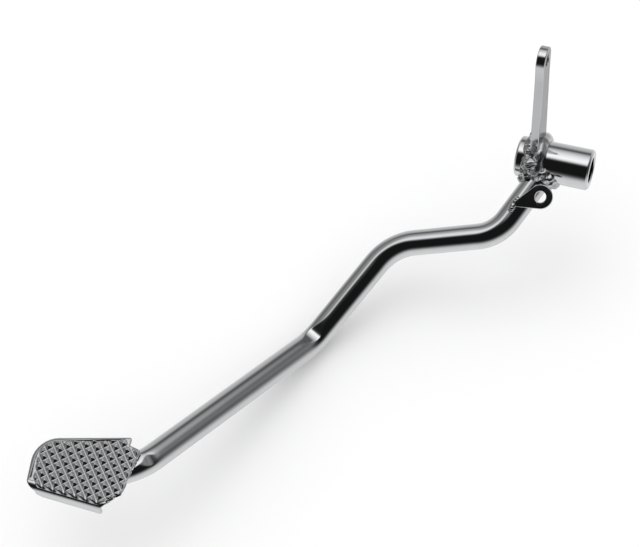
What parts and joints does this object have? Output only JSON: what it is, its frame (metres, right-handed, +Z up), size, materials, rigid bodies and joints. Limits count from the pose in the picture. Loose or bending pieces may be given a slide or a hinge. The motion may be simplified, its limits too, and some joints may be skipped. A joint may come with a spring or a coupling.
{
  "type": "motorcycle rear brake pedal",
  "caption": "Chromed foot pedal with a pivot sleeve, an upright rod lever, a cranked round arm, a small drilled tab and a serrated foot pad with a turned-down lip.",
  "frame": {"origin": "middle of the pivot sleeve's bore, half way along the sleeve", "axes": "+X forward from the pivot to the foot pad, +Y inboard along the pivot shaft, +Z up with the pad level as at rest"},
  "size_m": [0.2735, 0.2254, 0.1372],
  "materials": {
    "sleeve": "polished chrome plate on turned steel tube",
    "lever": "chrome plate on stamped steel, a little duller than the tube",
    "bar": "polished chrome plate on round steel bar",
    "tab": "polished chrome plate on stamped steel",
    "pad": "chrome plate over pressed teeth, satin between them",
    "weld": "chrome plate over rippled weld beads"
  },
  "bodies": {
    "root": {"pivot_sleeve": "sleeve", "brake_lever": "lever", "arm": "bar", "switch_tab": "tab", "foot_pad": "pad", "arm_weld": "weld", "lever_weld_inner": "weld", "lever_weld_outer": "weld", "tab_weld": "weld", "pad_weld_front": "weld", "pad_weld_rear": "weld"}
  },
  "joints": []
}
